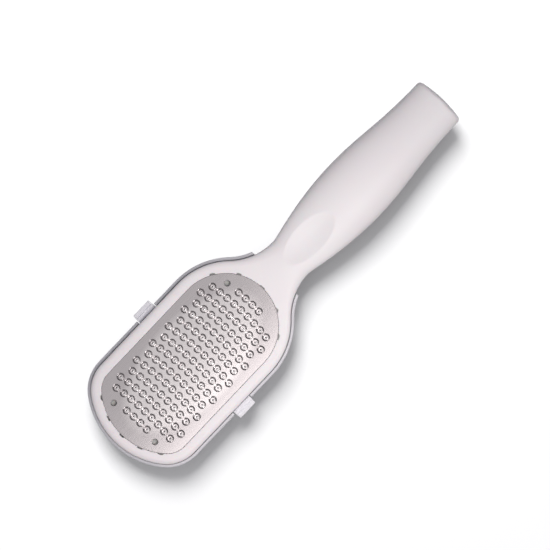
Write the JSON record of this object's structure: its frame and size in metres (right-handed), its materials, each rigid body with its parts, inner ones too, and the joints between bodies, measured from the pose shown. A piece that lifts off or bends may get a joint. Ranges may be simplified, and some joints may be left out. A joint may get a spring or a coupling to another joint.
{
  "type": "foot file",
  "caption": "Hand foot file with a toothed steel plate let into a moulded paddle, a hollow handle with a thumb dimple, and a dust tray held on by side latches.",
  "frame": {"origin": "on the flat underside of the dust tray, on the middle line, midway between the two latches", "axes": "+X towards the end of the handle, +Z towards the working side of the toothed plate, +Y to the left seen from the toe towards the handle with the plate up"},
  "size_m": [0.2009, 0.0624, 0.0196],
  "materials": {
    "body_plastic": "satin moulded ABS, white",
    "plate_steel": "satin stainless steel",
    "tray_plastic": "satin moulded polypropylene, pale grey-white"
  },
  "bodies": {
    "file": {"front_shell": "body_plastic", "rear_shell": "body_plastic", "file_plate": "plate_steel"},
    "tray": {"dust_tray": "tray_plastic"},
    "latch_left": {"latch_left": "tray_plastic"},
    "latch_right": {"latch_right": "tray_plastic"}
  },
  "joints": [
    {"name": "tray_slide", "type": "slide", "parent": "file", "child": "tray", "axis": [0, 0, -1], "range_m": [0, 0.025]},
    {"name": "latch_left_flex", "type": "hinge", "parent": "tray", "child": "latch_left", "pos_m": [0, 0.0265, 0.0044], "axis": [-1, 0, 0], "range_deg": [0, 10], "stiffness_Nm_per_rad": 0.3},
    {"name": "latch_right_flex", "type": "hinge", "parent": "tray", "child": "latch_right", "pos_m": [0, -0.0265, 0.0044], "axis": [1, 0, 0], "range_deg": [0, 10], "stiffness_Nm_per_rad": 0.3}
  ]
}
